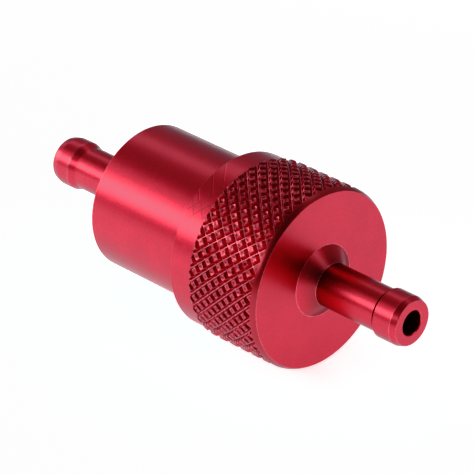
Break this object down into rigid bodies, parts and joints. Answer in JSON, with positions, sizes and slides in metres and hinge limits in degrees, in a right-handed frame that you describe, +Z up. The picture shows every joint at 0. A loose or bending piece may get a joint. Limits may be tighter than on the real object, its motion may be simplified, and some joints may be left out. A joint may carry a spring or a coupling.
{
  "type": "inline fuel filter",
  "caption": "Inline fuel filter: a turned metal body and a knurled screw cap, each with a hose nipple, hold a washable screen element on a spring.",
  "frame": {"origin": "on the filter's axis, half way between the two nipple ends", "axes": "+X along the axis from the inlet nipple on the body to the outlet nipple on the cap, +Z up"},
  "size_m": [0.076, 0.03, 0.03],
  "materials": {
    "anodised_metal": "satin red anodised",
    "rubber": "matt black",
    "spring_steel": "bright drawn",
    "brass": "turned",
    "screen_wire": "fine woven wire"
  },
  "bodies": {
    "body": {"inlet_body": "anodised_metal", "body_o_ring": "rubber", "element_spring": "spring_steel"},
    "element": {"element_end_disc": "brass", "element_core": "brass", "element_screen": "screen_wire", "screen_band_inlet": "brass", "screen_band_outlet": "brass", "element_collar": "brass", "element_gasket": "rubber"},
    "cap": {"outlet_cap": "anodised_metal"}
  },
  "joints": [
    {"name": "cap_travel", "type": "slide", "parent": "body", "child": "element", "axis": [1, 0, 0], "range_m": [0, 0.00751], "deforming": ["element_spring"]},
    {"name": "cap_turn", "type": "hinge", "parent": "element", "child": "cap", "pos_m": [0, 0, 0], "axis": [1, 0, 0], "range_deg": [0, 1800]}
  ],
  "couplings": [
    {"joint": "cap_travel", "follows": "cap_turn", "m_per_rad": 0.00023873}
  ]
}
